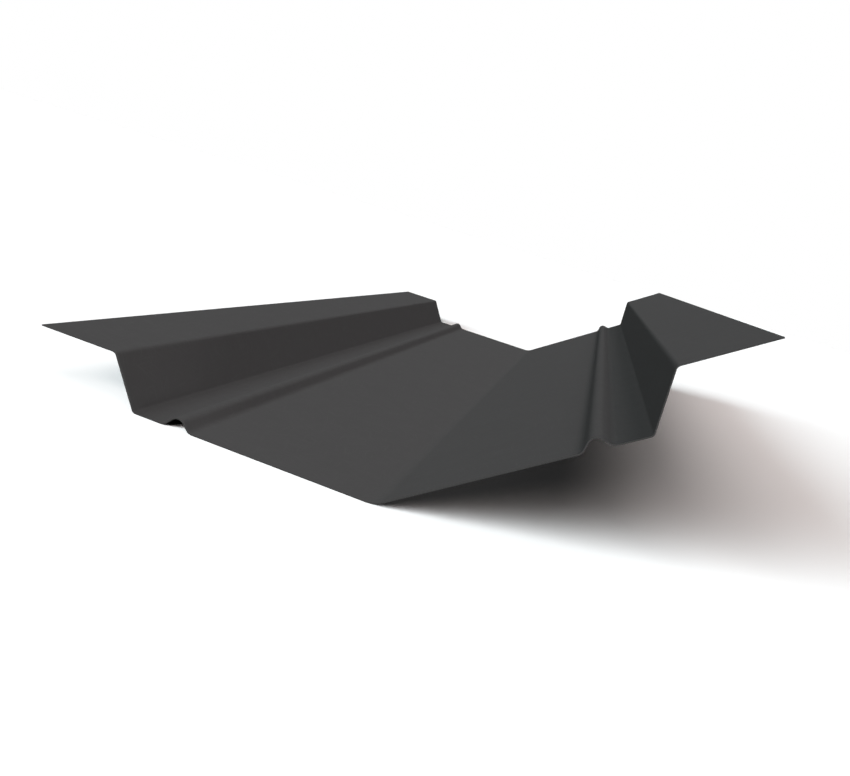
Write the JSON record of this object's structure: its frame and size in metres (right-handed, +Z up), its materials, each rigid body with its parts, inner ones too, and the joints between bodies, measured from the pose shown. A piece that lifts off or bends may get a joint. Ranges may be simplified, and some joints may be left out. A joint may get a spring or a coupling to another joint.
{
  "type": "valley trough",
  "caption": "Shallow V-shaped roof valley trough in thin sheet, with a rounded water bar along each channel, steep upstands and flat outer flanges that lie on the tiling battens.",
  "frame": {"origin": "on the floor, under the middle of the trough's bounding box", "axes": "+Y along the valley line, +Z up as the trough lies on the underside of its left channel, +X towards the right wing, which stands up in the air"},
  "size_m": [0.382, 0.862, 0.1502],
  "materials": {
    "grp_sheet": "matte"
  },
  "bodies": {
    "root": {"valley_trough": "grp_sheet"}
  },
  "joints": []
}
